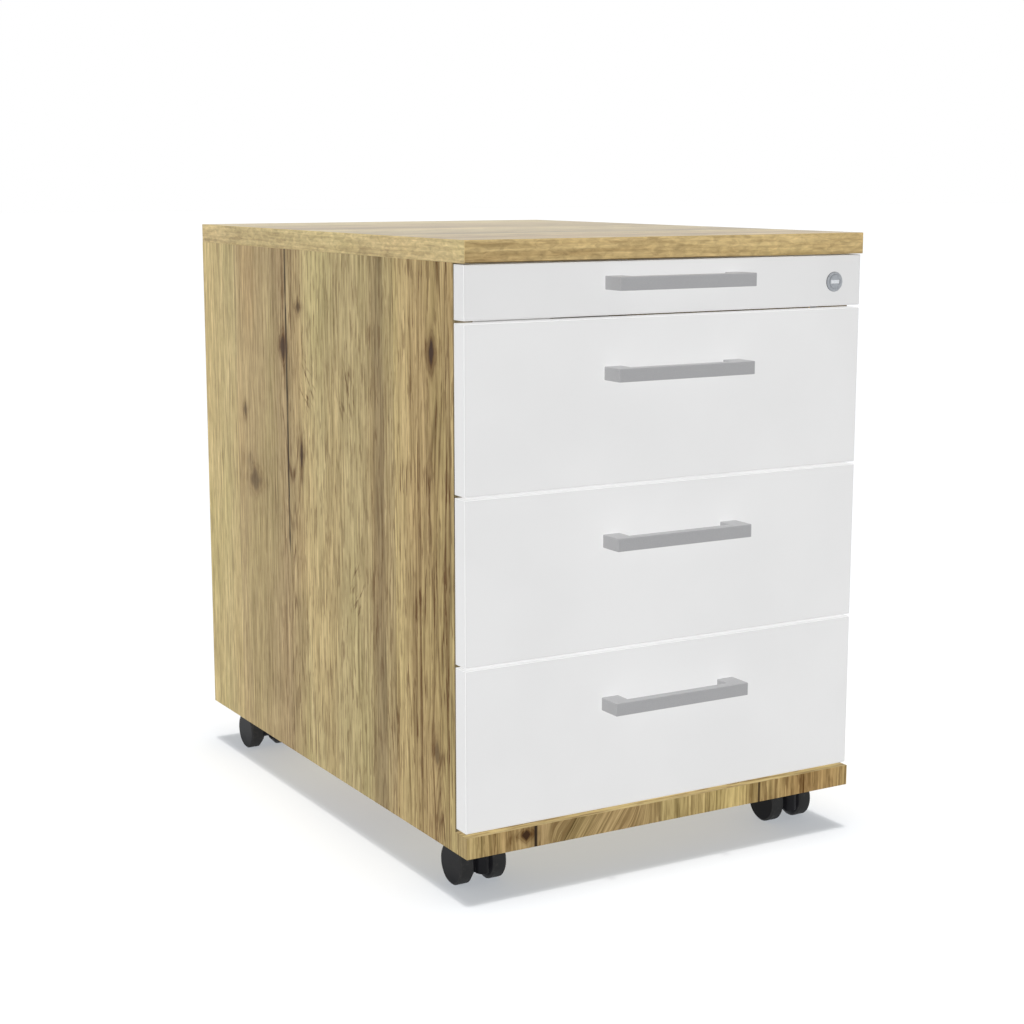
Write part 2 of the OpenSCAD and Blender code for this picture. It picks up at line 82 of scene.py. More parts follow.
class Graph:
    """The node tree of one material. position and normal are in the row frame, in metres."""

    def __init__(self, name):
        self.material = bpy.data.materials.new(name)
        self.material.use_nodes = True
        self.tree = self.material.node_tree
        self.tree.nodes.clear()
        self.shader = self.tree.nodes.new("ShaderNodeBsdfPrincipled")
        output = self.tree.nodes.new("ShaderNodeOutputMaterial")
        self.tree.links.new(self.shader.outputs[0], output.inputs[0])
        coordinates = self.tree.nodes.new("ShaderNodeTexCoord")
        self.position = coordinates.outputs["Object"]
        self.normal = coordinates.outputs["Normal"]

    def put(self, socket, value):
        """Links value to socket, or sets it when it is a plain number or colour."""
        if isinstance(value, bpy.types.NodeSocket):
            self.tree.links.new(value, socket)
        else:
            socket.default_value = value

    def set(self, **sockets):
        """Sets the shader's sockets, such as base_color or specular_ior_level."""
        names = {s.name.lower().replace(" ", "_"): s for s in self.shader.inputs}
        for name, value in sockets.items():
            self.put(names[name], value)

    def math(self, operation, *values):
        node = self.tree.nodes.new("ShaderNodeMath")
        node.operation = operation
        for socket, value in zip(node.inputs, values):
            self.put(socket, value)
        return node.outputs[0]

    def add(self, a, b):
        return self.math("ADD", a, b)

    def subtract(self, a, b):
        return self.math("SUBTRACT", a, b)

    def times(self, a, b):
        return self.math("MULTIPLY", a, b)

    def vector(self, operation, *values):
        node = self.tree.nodes.new("ShaderNodeVectorMath")
        node.operation = operation
        for socket, value in zip(node.inputs, values):
            self.put(socket, value)
        gives_number = operation in ("LENGTH", "DOT_PRODUCT")
        return node.outputs[1 if gives_number else 0]

    def split(self, vector):
        node = self.tree.nodes.new("ShaderNodeSeparateXYZ")
        self.put(node.inputs[0], vector)
        return node.outputs[0], node.outputs[1], node.outputs[2]

    def join(self, x, y, z=0.0):
        node = self.tree.nodes.new("ShaderNodeCombineXYZ")
        for socket, value in zip(node.inputs, (x, y, z)):
            self.put(socket, value)
        return node.outputs[0]

    def mix(self, factor, a, b, blend="MIX"):
        """The colour a where factor is 0 and b, or a and b blended, where it is 1."""
        node = self.tree.nodes.new("ShaderNodeMix")
        node.data_type = "RGBA"
        node.blend_type = blend
        self.put(node.inputs[0], factor)
        self.put(node.inputs[6], a)
        self.put(node.inputs[7], b)
        return node.outputs[2]

    def blend(self, factor, a, b):
        """The number a where factor is 0 and b where it is 1."""
        node = self.tree.nodes.new("ShaderNodeMix")
        self.put(node.inputs[0], factor)
        self.put(node.inputs[2], a)
        self.put(node.inputs[3], b)
        return node.outputs[0]

    def noise(self, vector, detail, roughness, distortion=0.0):
        node = self.tree.nodes.new("ShaderNodeTexNoise")
        self.put(node.inputs["Vector"], vector)
        for name, value in (
            ("Scale", 1.0),
            ("Detail", detail),
            ("Roughness", roughness),
            ("Distortion", distortion),
        ):
            self.put(node.inputs[name], value)
        return node.outputs[0]

    def stretched(self, vector, across, along, detail, roughness):
        """Noise of so many cells to the metre across and along the grain."""
        return self.noise(self.vector("MULTIPLY", vector, (across, along, 1)), detail, roughness)

    def swing(self, noise, amount):
        """A noise centred on 0 in place of 0.5, times amount."""
        return self.times(self.subtract(noise, 0.5), amount)

    def cells(self, vector):
        """The distance to the nearest point of a scatter."""
        node = self.tree.nodes.new("ShaderNodeTexVoronoi")
        self.put(node.inputs["Vector"], vector)
        self.put(node.inputs["Scale"], 1.0)
        return node.outputs["Distance"]

    def step(self, value, start, end, low=0.0, high=1.0):
        """Goes smoothly from low to high as value goes from start to end."""
        node = self.tree.nodes.new("ShaderNodeMapRange")
        node.interpolation_type = "SMOOTHSTEP"
        for socket, given in zip(node.inputs, (value, start, end, low, high)):
            self.put(socket, given)
        return node.outputs[0]

    def ramp(self, value, stops):
        """stops is a list of (position, colour)."""
        node = self.tree.nodes.new("ShaderNodeValToRGB")
        elements = node.color_ramp.elements
        elements[0].position, elements[0].color = stops[0]
        elements[1].position, elements[1].color = stops[-1]
        for position, colour in stops[1:-1]:
            elements.new(position).color = colour
        self.put(node.inputs[0], value)
        return node.outputs[0]

    def bump(self, height, distance, strength):
        """A bump whose height of 1 stands distance metres proud."""
        node = self.tree.nodes.new("ShaderNodeBump")
        self.put(node.inputs["Height"], height)
        self.put(node.inputs["Distance"], distance)
        self.put(node.inputs["Strength"], strength)
        return node.outputs[0]

    def scaled(self, x, y, z):
        """The position multiplied by a number along each axis."""
        return self.vector("MULTIPLY", self.position, (x, y, z))

    def facing(self, along):
        """1 on the faces that point either way along an axis, given that part of the normal."""
        return self.math("GREATER_THAN", self.math("ABSOLUTE", along), FACING)

    def tinted(self, colour, tint):
        """A colour with each part multiplied by the tint's."""
        return self.mix(1.0, colour, tint, "MULTIPLY")


def edge_distance(g, low, high):
    """On a face of the box from low to high, the distance to that face's nearest edge."""
    away = [
        g.math("MINIMUM", g.subtract(p, a), g.subtract(b, p))
        for p, a, b in zip(g.split(g.position), low, high)
    ]
    pairs = ((away[0], away[1]), (away[1], away[2]), (away[0], away[2]))
    larger = [g.math("MAXIMUM", a, b) for a, b in pairs]
    return g.math("MINIMUM", g.math("MINIMUM", larger[0], larger[1]), larger[2])


# ---- Oak-effect laminate ----

# The printed pattern repeats every PATTERN_W across the grain. Plank tones by distance across
# it, in metres, with two close stops where one plank meets the next.
PATTERN_W = 0.625
PLANKS = (
    (0.000, (167, 147, 105)),
    (0.022, (180, 160, 116)),
    (0.050, (162, 140, 99)),
    (0.082, (171, 149, 107)),
    (0.104, (182, 161, 117)),
    (0.134, (179, 159, 115)),
    (0.136, (166, 147, 109)),
    (0.152, (167, 149, 110)),
    (0.157, (142, 125, 92)),
    (0.172, (144, 127, 93)),
    (0.180, (160, 143, 105)),
    (0.186, (172, 155, 115)),
    (0.240, (174, 158, 117)),
    (0.300, (182, 166, 123)),
    (0.334, (181, 164, 121)),
    (0.342, (168, 149, 109)),
    (0.374, (160, 141, 104)),
    (0.377, (158, 138, 103)),
    (0.420, (163, 144, 107)),
    (0.470, (172, 152, 113)),
    (0.508, (175, 156, 116)),
    (0.511, (180, 164, 121)),
    (0.560, (185, 167, 122)),
    (0.600, (194, 175, 127)),
    (0.625, (168, 148, 106)),
)
# How strongly brown streaks and fine pore lines show, by distance across
STREAKINESS = (
    (0.000, 0.9),
    (0.030, 1.0),
    (0.100, 0.75),
    (0.134, 0.55),
    (0.137, 0.50),
    (0.190, 0.40),
    (0.200, 0.22),
    (0.325, 0.22),
    (0.340, 0.85),
    (0.376, 0.75),
    (0.400, 0.34),
    (0.505, 0.30),
    (0.515, 0.20),
    (0.600, 0.15),
    (0.625, 0.80),
)
# Dark joints between planks: across, half width, darkness, and the stretch along the grain
JOINTS = (
    (0.0270, 0.0009, 0.50, 0.05, 0.33),
    (0.1350, 0.0009, 0.30, -0.50, 1.50),
    (0.3750, 0.0017, 1.00, 0.20, 1.50),
    (0.5090, 0.0010, 0.22, -0.50, 1.50),
    (0.6240, 0.0013, 0.90, -0.50, 1.50),
)
# Flame figure, nested loops about a line: across, half width, sharpness (negative points up),
# darkness, and the tips of its loops along the grain
FLAMES = (
    (0.3655, 0.0250, 150, 0.60, (0.241, 0.293)),
    (0.3620, 0.0170, -1000, 0.62, (0.262, 0.215, 0.165, 0.110)),
    (0.0390, 0.0110, -2200, 0.75, (0.190, 0.135)),
    (0.0450, 0.0170, -500, 0.55, (0.078, 0.050, 0.022)),
    (0.1650, 0.0090, 1500, 0.30, (0.105, 0.060)),
    (0.1380, 0.0100, 900, 0.45, (0.050,)),
)
# Wavy brown streaks: across, sway, its period along, half width, darkness, start and end
RIVERS = (
    (0.0600, 0.0060, 0.26, 0.0034, 0.62, 0.17, 0.40),
    (0.0490, 0.0035, 0.31, 0.0017, 0.55, 0.02, 0.60),
    (0.0350, 0.0025, 0.43, 0.0014, 0.62, 0.17, 0.60),
    (0.0725, 0.0028, 0.36, 0.0015, 0.45, 0.02, 0.60),
    (0.0830, 0.0015, 0.50, 0.0024, 0.42, -0.40, 1.50),
    (0.0930, 0.0010, 0.60, 0.0012, 0.35, -0.40, 1.50),
    (0.1620, 0.0010, 0.70, 0.0016, 0.38, 0.10, 1.50),
    (0.1740, 0.0020, 0.70, 0.0055, 0.34, 0.10, 0.28),
    (0.1790, 0.0010, 0.55, 0.0012, 0.35, -0.40, 1.50),
    (0.3630, 0.0040, 0.24, 0.0020, 0.75, 0.43, 0.62),
    (0.3560, 0.0040, 0.30, 0.0013, 0.45, 0.34, 0.62),
    (0.3860, 0.0010, 0.50, 0.0020, 0.30, -0.40, 0.30),
    (0.4050, 0.0015, 0.45, 0.0016, 0.22, -0.40, 1.50),
)
# Knots: across, along, the core's half width and half length, its darkness, and how strongly
# the grain bends round it
KNOTS = (
    (0.0610, 0.440, 0.0052, 0.0135, 1.0, 0.85),
    (0.0545, 0.083, 0.0050, 0.0110, 0.50, 0.60),
    (0.3835, 0.420, 0.0070, 0.0140, 0.85, 0.35),
    (0.3440, 0.463, 0.0050, 0.0060, 0.65, 0.10),
    (0.4640, 0.274, 0.0130, 0.0130, 0.52, 0.0),
    (0.4760, 0.292, 0.0110, 0.0120, 0.22, 0.0),
    (0.4870, 0.347, 0.0036, 0.0080, 0.60, 0.0),
    (0.3420, 0.315, 0.0034, 0.0180, 0.90, 0.0),
    (0.3655, 0.7125, 0.0050, 0.0050, 0.95, 0.40),
)
# Patches of short slanting marks: across, along, radius, slope
MARKS = (
    (0.325, 0.385, 0.026, 0.9),
    (0.237, 0.385, 0.028, 0.35),
    (0.215, 0.200, 0.022, -0.8),
)
DARK_GRAIN = srgb(88, 60, 28)
# Colour of the painted shade inside the case
PAINTED_INSIDE_SHADE = srgb(56, 54, 50)
# Dark of the printed joints, also used for the deck's painted shadow line
JOINT_AND_SHADOW_DARK = srgb(44, 34, 24)
KNOT_CORE = srgb(52, 33, 18)
OLIVE_TINT = srgb(238, 250, 228)
BROWN_TINT = srgb(252, 236, 226)
BAND_TINT = srgb(234, 228, 218)
WOOD_GAIN = (1.00, 0.99, 0.95, 1.0)
# Each direction that a face can look in takes its own slice of the noises
LAYERS = (3.1, 5.7, 9.3)
# Where the faces lie in the pattern, in metres across or along the grain
DECK_EDGE_ACROSS = 0.085
BASE_FRONT_ACROSS = 0.518
BASE_FRONT_ALONG = 0.40
LEVEL_FACE_ACROSS = 0.43
RIGHT_SIDE_ACROSS = 0.23
RIGHT_SIDE_ALONG = 0.13
BACK_ALONG = 0.30
# The stretch of the base's front edge whose grain leans: its middle, half widths and slope
LEAN_AT = -0.075
LEAN_FULL, LEAN_END = 0.030, 0.062
LEAN_SLOPE = 0.70
# How far off a face's plane still counts as on it
ON_FACE = 0.1 * MM
GRAIN_DEPTH = 0.06 * MM
# The noises: cells to the metre across and along the grain, detail and roughness
WANDER = (7, 3.5, 2, 0.5)
HUE = (13, 3.0, 1.5, 0.5)
BROAD = (30, 1.5, 3, 0.55)
STREAKS = (118, 2.6, 4, 0.60)
COARSE = (165, 7, 3, 0.6)
LINES = (235, 9, 3, 0.60)
FINE = (390, 12, 3, 0.65)
DASHES = (240, 26, 3, 0.62)
PORES = (400, 32, 2, 0.5)
CLOUD = (26, 17, 4, 0.62)
FLECKS = (210, 70, 3, 0.6)
PATCHY = (60, 30, 3, 0.6)
RAGGED = (120, 34, 3, 0.6)
BROKEN = (3, 26, 2, 0.6)


def stretch_shown(g, along, start, end, fade):
    """1 from start to end along the grain, with faded ends."""
    return g.times(g.step(along, start, start + fade), g.step(along, end - fade, end, 1.0, 0.0))


def flame_lines(g, across, along, wobble):
    """How dark the nested loops of the flame figure are."""
    lines = 0.0
    for centre, half_w, sharpness, darkness, tips in FLAMES:
        aside = g.subtract(across, centre)
        rise = g.times(g.times(aside, aside), sharpness)
        level = g.add(g.subtract(along, rise), g.times(wobble, 0.030))
        inside = g.step(g.math("ABSOLUTE", aside), half_w * 0.55, half_w, darkness, 0.0)
        for tip in tips:
            off = g.math("ABSOLUTE", g.subtract(level, tip))
            loop = g.step(off, 0.001, 0.010, 1.0, 0.0)
            lines = g.math("MAXIMUM", lines, g.times(loop, inside))
    return lines


def river_lines(g, across, along):
    """How dark the wavy streaks are."""
    lines = 0.0
    for centre, sway, period, half_w, darkness, start, end in RIVERS:
        phase = g.times(g.add(along, centre * 9), 2 * math.pi / period)
        bend = g.times(g.math("SINE", phase), sway)
        off = g.math("ABSOLUTE", g.subtract(g.subtract(across, centre), bend))
        line = g.step(off, half_w * 0.2, half_w * 1.4, darkness, 0.0)
        shown = stretch_shown(g, along, start, end, 0.05)
        lines = g.math("MAXIMUM", lines, g.times(line, shown))
    return lines


def joint_lines(g, wrapped, along):
    """How dark the joints between planks are."""
    lines = 0.0
    for centre, half_w, darkness, start, end in JOINTS:
        off = g.math("ABSOLUTE", g.subtract(wrapped, centre))
        line = g.step(off, half_w * 0.4, half_w * 1.5, darkness, 0.0)
        shown = stretch_shown(g, along, start, end, 0.03)
        lines = g.math("MAXIMUM", lines, g.times(line, shown))
    return lines


def slanting_marks(g, across, along, layer):
    """Short dark strokes in a few patches."""
    marks = 0.0
    for at_u, at_v, radius, slope in MARKS:
        du, dv = g.subtract(across, at_u), g.subtract(along, at_v)
        near = g.vector("LENGTH", g.join(du, g.times(dv, 0.6)))
        over = g.times(g.subtract(du, g.times(dv, slope)), 190)
        down = g.times(g.add(dv, g.times(du, slope)), 40)
        worn = g.step(g.noise(g.join(over, down, layer), 2, 0.5), 0.54, 0.68)
        patch = g.step(near, radius * 0.3, radius, 1.0, 0.0)
        marks = g.math("MAXIMUM", marks, g.times(worn, patch))
    return marks


def knots(g, across, along, ragged, bent):
    """The knots' dark cores, the halos round them, and the grain's place across bent by them."""
    cores = 0.0
    halos = 0.0
    for at_u, at_v, half_w, half_l, dark, pull_most in KNOTS:
        offset = g.vector("SUBTRACT", g.join(across, along), (at_u, at_v, 0))
        if pull_most:
            swollen = g.vector("MULTIPLY", offset, (0.33 / half_w, 0.20 / half_l, 0))
            pull = g.step(g.vector("LENGTH", swollen), 0.0, 1.7, pull_most, 0.0)
            bent = g.subtract(bent, g.times(g.subtract(across, at_u), pull))
        aside, away = (g.math("ABSOLUTE", part) for part in g.split(offset)[:2])
        spindle = g.math("POWER", g.times(away, 1 / half_l), 1.5)
        core = g.add(g.times(aside, 1 / half_w), spindle)
        core = g.times(core, g.add(g.times(ragged, 1.2), 0.30))
        rings = g.step(g.math("SINE", g.times(core, 8.5)), 0.0, 0.9, 0.0, 0.16 * dark)
        rings = g.times(rings, g.step(core, 1.4, 2.8, 1.0, 0.0))
        glow = g.step(core, 0.5, 3.0, 0.75 * dark, 0.0)
        cores = g.math("MAXIMUM", cores, g.step(core, 0.55, 1.0, dark, 0.0))
        halos = g.math("MAXIMUM", halos, g.add(rings, glow))
    return cores, halos, bent


def plank_tones(g, tone, place):
    """The planks' own colours, with brownish and olive drifts."""
    colour = g.ramp(tone, [(at / PATTERN_W, srgb(*c)) for at, c in PLANKS])
    colour = g.tinted(colour, WOOD_GAIN)
    hue = g.stretched(place, *HUE)
    for far, most, tint in ((0.68, 0.30, BROWN_TINT), (0.34, 0.25, OLIVE_TINT)):
        colour = g.mix(g.step(hue, 0.50, far, 0.0, most), colour, g.tinted(colour, tint))
    return colour


def oak_decor(g, across, along, layer, figured, bold, dashed):
    """Colour, roughness and height of the laminate at a place across and along the grain.
    bold scales its contrast and dashed its short pores. figured adds flames, knots and joints."""
    place = g.join(across, along, layer)
    wander = g.subtract(g.stretched(place, *WANDER), 0.5)
    wrapped = g.math("WRAP", g.add(across, g.times(wander, 0.002)), PATTERN_W, 0.0)
    bent = g.add(across, g.times(wander, 0.010))
    cores, halos = 0.0, 0.0
    if figured:
        ragged = g.stretched(place, *RAGGED)
        cores, halos, bent = knots(g, across, along, ragged, bent)
    grain = g.join(bent, along, layer)

    tone = g.math("DIVIDE", wrapped, PATTERN_W)
    streaky = g.ramp(tone, [(at / PATTERN_W, (v, v, v, 1)) for at, v in STREAKINESS])
    colour = plank_tones(g, tone, place)

    broad = g.stretched(grain, *BROAD)
    streaks = g.stretched(grain, *STREAKS)
    coarse = g.stretched(grain, *COARSE)
    lines = g.stretched(grain, *LINES)
    fine = g.stretched(grain, *FINE)
    dashes = g.step(g.stretched(grain, *DASHES), 0.52, 0.62)
    pores = g.step(g.stretched(grain, *PORES), 0.53, 0.63)
    cloud = g.stretched(place, *CLOUD)
    flecks = g.stretched(place, *FLECKS)

    shade = 0.0
    for noise, amount in (
        (broad, 0.45),
        (lines, g.step(tone, 0.20, 0.75, 0.85, 0.70)),
        (fine, 1.90),
        (cloud, 0.35),
        (flecks, 0.35),
        (coarse, g.step(tone, 0.55, 0.80, 0.1, 0.3)),
    ):
        shade = g.add(shade, g.swing(noise, amount))
    bright = g.math("MAXIMUM", g.add(g.times(shade, bold), 1.0), 0.2)
    warmer = g.join(bright, g.math("POWER", bright, 1.06), g.math("POWER", bright, 1.22))
    colour = g.tinted(colour, warmer)

    brown = g.times(g.step(streaks, 0.51, 0.66), g.times(streaky, 0.66))
    dark = g.add(g.times(brown, bold), g.times(pores, g.times(bold, 0.14)))
    dashes = g.times(g.times(dashes, dashed), g.step(fine, 0.35, 0.55, 0.55, 1.0))
    dark = g.add(dark, g.times(dashes, g.step(tone, 0.60, 0.66, 0.50, 0.26)))
    if figured:
        swept = g.add(bent, g.times(wander, 0.004))
        loops = flame_lines(g, swept, along, wander)
        drawn = g.math("MAXIMUM", loops, river_lines(g, swept, along))
        patchy = g.step(g.stretched(place, *PATCHY), 0.30, 0.62, 0.45, 1.0)
        dark = g.add(dark, g.times(drawn, g.times(patchy, 0.98)))
        dark = g.add(dark, g.times(slanting_marks(g, across, along, layer), 0.60))
    dark = g.add(dark, halos)
    colour = g.mix(g.math("MINIMUM", dark, 1.0), colour, DARK_GRAIN)
    if figured:
        broken = g.step(g.stretched(place, *BROKEN), 0.34, 0.50, 0.62, 1.0)
        colour = g.mix(g.times(joint_lines(g, wrapped, along), broken), colour, JOINT_AND_SHADOW_DARK)
    colour = g.mix(cores, colour, KNOT_CORE)
    raised = g.times(g.add(fine, lines), 0.3)
    sunk = g.add(g.times(pores, 0.5), g.times(brown, 0.3))
    rough = g.add(g.times(streaks, 0.14), 0.42)
    return colour, rough, g.subtract(raised, sunk)


def enclosed(g, on_y):
    """1 on the boards' faces inside the case and on the edges behind the drawer fronts, where the
    oak gets painted shade.
    """
    places = g.split(g.position)
    within = 1.0
    for place, low, high in zip(places, INSIDE_LOW, INSIDE_HIGH):
        within = g.times(within, g.math("GREATER_THAN", place, low - ON_FACE))
        within = g.times(within, g.math("LESS_THAN", place, high + ON_FACE))
    from_fronts = g.math("ABSOLUTE", g.subtract(places[1], INSIDE_LOW[1]))
    behind_fronts = g.math("LESS_THAN", from_fronts, 5 * ON_FACE)
    return g.math("MAXIMUM", within, g.times(on_y, behind_fronts))


def oak_board(name):
    """Oak-effect board whose grain runs up Z, and along X on its level faces."""
    g = Graph(name)
    x, y, z = g.split(g.position)
    nx, ny, nz = g.split(g.normal)
    on_x, on_y, on_z = g.facing(nx), g.facing(ny), g.facing(nz)
    right = g.math("GREATER_THAN", nx, 0.5)
    front_edge = g.math("LESS_THAN", ny, -FACING)
    on_side = g.add(g.subtract(y, BASE_LOW.y), g.times(right, RIGHT_SIDE_ACROSS))
    upright = g.subtract(z, BASE_LOW.z)
    from_lean = g.math("ABSOLUTE", g.subtract(x, LEAN_AT))
    slope = g.step(from_lean, LEAN_FULL, LEAN_END, LEAN_SLOPE, 0.0)
    lean = g.times(g.times(front_edge, upright), slope)
    on_end = g.subtract(g.add(x, BASE_FRONT_ACROSS), lean)
    across = g.blend(on_z, g.blend(on_x, on_end, on_side), g.add(y, LEVEL_FACE_ACROSS))
    on_end_shift = g.add(g.times(on_y, BACK_ALONG), g.times(front_edge, BASE_FRONT_ALONG))
    shift = g.add(g.times(right, RIGHT_SIDE_ALONG), on_end_shift)
    along = g.blend(on_z, g.add(upright, shift), x)
    layer = g.vector("DOT_PRODUCT", g.normal, LAYERS)
    bold = g.blend(on_y, 1.0, 1.15)
    colour, rough, height = oak_decor(g, across, along, layer, True, bold, 1.0)
    colour = g.mix(on_y, colour, g.tinted(colour, BAND_TINT))
    # Painted shade: the oak inside the case and behind the fronts is darkened towards a dark grey,
    # standing in for the shade there
    colour = g.mix(enclosed(g, on_y), colour, g.mix(0.75, colour, PAINTED_INSIDE_SHADE))
    g.set(base_color=colour, roughness=rough, specular_ior_level=0.1)
    g.set(normal=g.bump(height, GRAIN_DEPTH, 0.6))
    return g.material


def oak_deck(name):
    """Oak-effect top board: plain mottled grain along X, and along each edge band's edge, with a
    painted shadow line along the bottom of its front edge.
    """
    g = Graph(name)
    x, y, z = g.split(g.position)
    nx, ny, nz = g.split(g.normal)
    on_x, on_y, on_z = g.facing(nx), g.facing(ny), g.facing(nz)
    on_band = g.add(z, DECK_EDGE_ACROSS - DECK_LOW.z)
    across = g.blend(on_z, on_band, g.subtract(y, DECK_LOW.y))
    along = g.blend(on_x, x, y)
    layer = g.vector("DOT_PRODUCT", g.normal, LAYERS)
    bold, dashed = g.blend(on_z, 0.45, 1.4), g.blend(on_z, 0.40, 1.0)
    colour, rough, height = oak_decor(g, across, along, layer, False, bold, dashed)
    blotch = g.noise(g.join(g.times(across, 230), g.times(along, 90), layer), 3, 0.6, 0.8)
    # Painted light and shade by which way a face points: the top is darkened and the end faces
    # lightened against the front edge band. The blotches and the ends' olive tint are the print's
    # own
    level = g.blend(on_x, g.blend(on_z, 1.09, 0.84), 1.19)
    mottle_and_painted_light = g.add(g.swing(blotch, g.blend(on_z, 1.3, 0.2)), level)
    green = g.times(mottle_and_painted_light, g.blend(on_x, 1.0, 1.06))
    blue = g.times(mottle_and_painted_light, g.blend(on_x, 1.0, 1.12))
    colour = g.tinted(colour, g.join(mottle_and_painted_light, green, blue))
    # Painted shadow: the lowest millimetre or so of the front edge band is darkened, strong over
    # the left and middle and fading towards the right end
    painted_shadow_line = g.times(on_y, g.step(z, DECK_LOW.z + 1.4 * MM, DECK_LOW.z + 0.6 * MM))
    shown = g.step(x, 0.02, 0.12, 0.9, 0.2)
    colour = g.mix(g.times(painted_shadow_line, shown), colour, JOINT_AND_SHADOW_DARK)
    g.set(base_color=colour, roughness=rough, specular_ior_level=g.blend(on_z, 0.15, 0.5))
    g.set(coat_weight=g.times(on_z, 0.35), coat_roughness=0.3)
    g.set(normal=g.bump(height, GRAIN_DEPTH, 0.6))
    return g.material


# ---- Other finishes ----

WHITE = (216, 216, 216)
LOCK_GREY = (164, 167, 171)


def darker(colour, by):
    """A seen colour with each part lowered by a number, in linear values."""
    return srgb(*(max(0, part - by) for part in colour))


def white_laminate(name, low, high):
    """White board with a fine pearl texture and a 1 mm edge band whose seam shows on its faces. Its
    tops are painted darker and its ends lighter, as painted shade and light.
    """
    g = Graph(name)
    mottle = g.noise(g.scaled(9, 9, 9), 3, 0.5)
    pearl = g.noise(g.scaled(1900, 1900, 1900), 2, 0.5)
    colour = g.mix(g.step(mottle, 0.3, 0.7), srgb(*WHITE), darker(WHITE, 3))
    edge = edge_distance(g, low, high)
    seam = g.times(g.step(edge, 0.8 * MM, 1.0 * MM), g.step(edge, 1.3 * MM, 1.1 * MM))
    colour = g.mix(g.times(seam, 0.35), colour, srgb(176, 176, 172))
    # Painted shade and light: by which way a face points, the tops are darkened and the end faces
    # lightened against the front face
    normal_x, _, normal_z = g.split(g.normal)
    on_top = g.math("GREATER_THAN", normal_z, FACING)
    level = g.blend(on_top, g.blend(g.facing(normal_x), 1.02, 1.10), 0.80)
    colour = g.tinted(colour, g.join(level, level, level))
    g.set(base_color=colour, roughness=g.add(g.times(mottle, 0.10), 0.36))
    g.set(specular_ior_level=g.blend(on_top, 0.3, 0.1))
    g.set(normal=g.bump(g.subtract(g.times(pearl, 0.5), seam), 0.03 * MM, 0.6))
    return g.material


def painted_steel(name, colour, roughness=0.42):
    """Powder coat: a fine orange peel."""
    g = Graph(name)
    peel = g.noise(g.scaled(650, 650, 650), 2, 0.45)
    mottle = g.noise(g.scaled(18, 18, 18), 2, 0.5)
    shade = g.mix(mottle, srgb(*colour), darker(colour, 7))
    g.set(base_color=shade, roughness=g.add(g.times(mottle, 0.12), roughness - 0.06))
    g.set(normal=g.bump(peel, 0.04 * MM, 0.5))
    return g.material


def satin_grey(name):
    """Silver-grey lacquer over die-cast metal: fine flake and slight handling polish."""
    g = Graph(name)
    flake = g.noise(g.scaled(2600, 2600, 2600), 1, 0.5)
    mottle = g.noise(g.scaled(40, 60, 60), 3, 0.55)
    colour = g.mix(g.step(flake, 0.35, 0.75), srgb(151, 151, 152), srgb(160, 160, 161))
    colour = g.mix(g.times(mottle, 0.3), colour, srgb(142, 142, 144))
    g.set(base_color=colour, metallic=0.15, roughness=g.add(g.times(mottle, 0.16), 0.34))
    g.set(normal=g.bump(flake, 0.01 * MM, 0.35))
    return g.material


def turned_metal(name, centre, colour, roughness):
    """Plated metal turned on a lathe about an axis along Y: rings round the centre. Its rim and
    walls, the faces not turned to the front, carry painted shade: they are coloured dark against
    the white front."""
    g = Graph(name)
    x, _, z = g.split(g.vector("SUBTRACT", g.position, centre))
    radius = g.vector("LENGTH", g.join(x, z))
    rings = g.noise(g.join(g.times(radius, 5200), 0.0, 0.0), 3, 0.6)
    wear = g.noise(g.scaled(420, 420, 420), 3, 0.6)
    shade = g.mix(g.step(wear, 0.4, 0.75), srgb(*colour), darker(colour, 16))
    # Painted shade: faces not turned to the front are coloured dark grey
    painted_shade_rim = g.math("LESS_THAN", g.math("ABSOLUTE", g.split(g.normal)[1]), 0.6)
    shade = g.mix(g.times(painted_shade_rim, 0.75), shade, srgb(70, 72, 76))
    g.set(base_color=shade, metallic=0.85)
    g.set(roughness=g.add(g.times(rings, 0.14), g.add(g.times(wear, 0.08), roughness - 0.1)))
    g.set(normal=g.bump(rings, 0.01 * MM, 0.5))
    return g.material


def zinc(name, colour=(176, 178, 182), roughness=0.38, grain=(300, 300, 300)):
    """Zinc plate with a soft spangle."""
    g = Graph(name)
    spangle = g.cells(g.scaled(*grain))
    cloud = g.noise(g.scaled(60, 60, 60), 3, 0.6)
    shade = g.mix(spangle, srgb(*colour), darker(colour, 26))
    g.set(base_color=shade, metallic=0.9, roughness=g.add(g.times(cloud, 0.22), roughness - 0.1))
    g.set(normal=g.bump(cloud, 0.02 * MM, 0.4))
    return g.material


def moulded(name, colour, roughness, texture, depth, subsurface=0.0, gloss=0.4):
    """Moulded plastic with a fine spark-eroded texture."""
    g = Graph(name)
    grain = g.noise(g.scaled(texture, texture, texture), 2, 0.6)
    cloud = g.noise(g.scaled(55, 55, 55), 3, 0.55)
    shade = g.mix(cloud, srgb(*colour), darker(colour, 8))
    g.set(base_color=shade, specular_ior_level=gloss)
    g.set(roughness=g.add(g.times(cloud, 0.18), roughness - 0.09))
    g.set(normal=g.bump(grain, depth, 0.5))
    if subsurface:
        g.set(subsurface_weight=subsurface, subsurface_scale=2 * MM)
    return g.material


